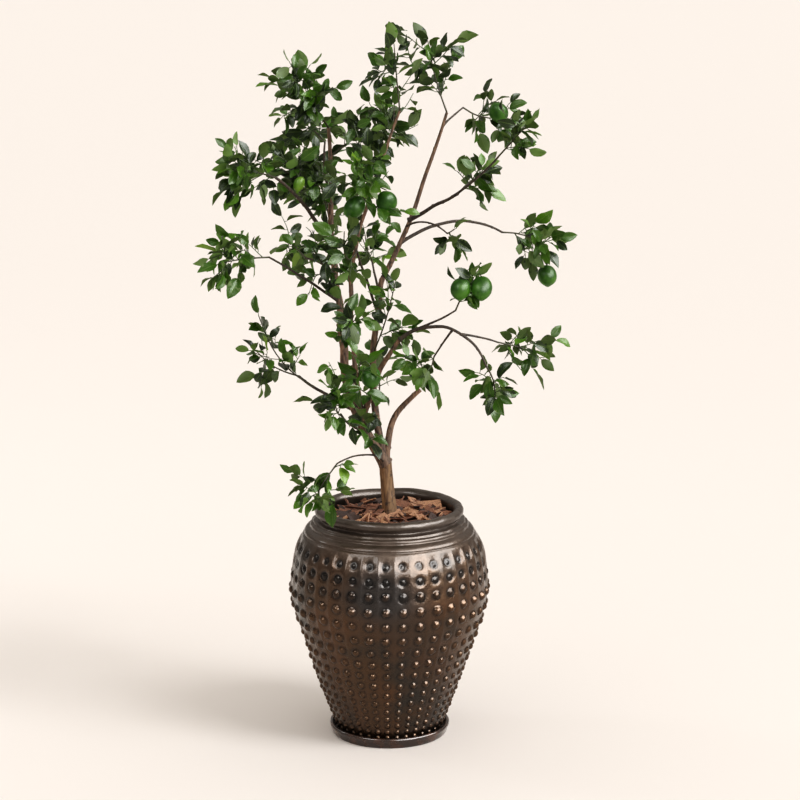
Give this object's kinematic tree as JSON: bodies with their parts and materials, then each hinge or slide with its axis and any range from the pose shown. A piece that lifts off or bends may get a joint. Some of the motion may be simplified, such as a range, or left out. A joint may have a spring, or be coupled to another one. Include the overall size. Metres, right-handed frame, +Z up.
{
  "type": "potted lemon tree",
  "caption": "Young lemon tree with green fruit and open foliage, growing in a studded, glazed oil-jar pot on a saucer.",
  "frame": {"origin": "centre of the saucer's flat underside, where the plant stands", "axes": "+Z up, +X to the right and +Y to the back as seen in the picture"},
  "size_m": [0.9145, 0.7021, 1.7722],
  "materials": {
    "pot_glaze": "glossy",
    "saucer_glaze": "glossy",
    "mulch": "rough",
    "bark": "rough",
    "foliage": "satin"
  },
  "bodies": {
    "root": {"arch": "bark", "arch_foot": "bark", "arch_side": "bark", "back_leaves": "foliage", "back_left_bough": "bark", "back_left_leaves": "foliage", "back_right_bough": "bark", "back_right_leaves": "foliage", "back_top_bough": "bark", "back_top_leaves": "foliage", "centre_leader": "bark", "centre_low_leaves": "foliage", "crossing_bough": "bark", "crossing_leaves": "foliage", "dense_left_leaves": "foliage", "drooping_leaves": "foliage", "far_right_bough": "bark", "far_right_leaves": "foliage", "fruit_spray_leaves": "foliage", "hanging_bough": "bark", "hanging_leaves": "foliage", "high_centre_leaves": "foliage", "high_left_leaves": "foliage", "inner_left_leaves": "foliage", "left_cluster_leaves": "foliage", "left_leader": "bark", "left_middle_leaves": "foliage", "lime_pair_leaves": "foliage", "lime_twig": "bark", "low_back_leaves": "foliage", "low_front_bough": "bark", "low_front_leaves": "foliage", "low_inner_leaves": "foliage", "low_left_bough": "bark", "low_left_leaves": "foliage", "lowest_bough": "bark", "lowest_leaves": "foliage", "middle_left_bough": "bark", "pot": "pot_glaze", "pruned_stub": "bark", "right_bough": "bark", "right_inner_leaves": "foliage", "right_leader": "bark", "right_middle_leaves": "foliage", "right_spray_leaves": "foliage", "right_tip_bough": "bark", "right_tip_leaves": "foliage", "right_upper_leaves": "foliage", "saucer": "saucer_glaze", "soil_and_mulch": "mulch", "star_leaves": "foliage", "star_twig": "bark", "top_centre_leaves": "foliage", "top_left_leaves": "foliage", "top_right_bough": "bark", "top_right_leaves": "foliage", "trunk": "bark", "trunk_spray_leaves": "foliage", "upper_left_bough": "bark", "upright_shoot_leaves": "foliage"}
  },
  "joints": []
}
